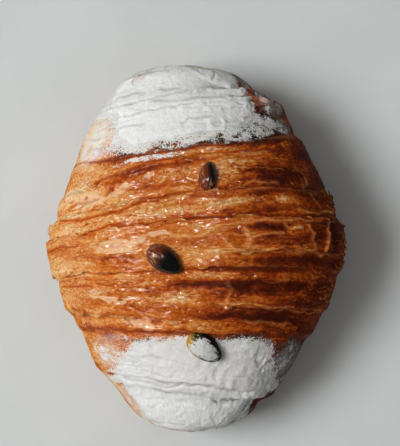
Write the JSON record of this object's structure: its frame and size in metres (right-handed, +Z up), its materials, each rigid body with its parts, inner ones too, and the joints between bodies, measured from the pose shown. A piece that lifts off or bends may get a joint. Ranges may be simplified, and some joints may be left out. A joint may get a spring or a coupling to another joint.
{
  "type": "pistachio croissant",
  "caption": "Straight, fat croissant of rolled laminated dough with a glazed flaky crust, icing sugar on both ends and shelled pistachio kernels set along its crown.",
  "frame": {"origin": "on the flat foot, under the middle of the roll's length and width", "axes": "+Y along the roll, +X across it, +Z up from the surface it rests on"},
  "size_m": [0.1138, 0.1404, 0.072],
  "materials": {
    "crust": "baked laminated dough, golden brown under a thin glaze",
    "pistachio_skin": "wrinkled brown kernel skin, lightly glazed",
    "sugared_pistachio": "kernel skin dusted with icing sugar",
    "icing_sugar": "sifted icing sugar on the roll's two ends"
  },
  "bodies": {
    "root": {"croissant": "crust", "pistachio_upper": "pistachio_skin", "pistachio_middle": "pistachio_skin", "pistachio_sugared": "sugared_pistachio"}
  },
  "joints": []
}
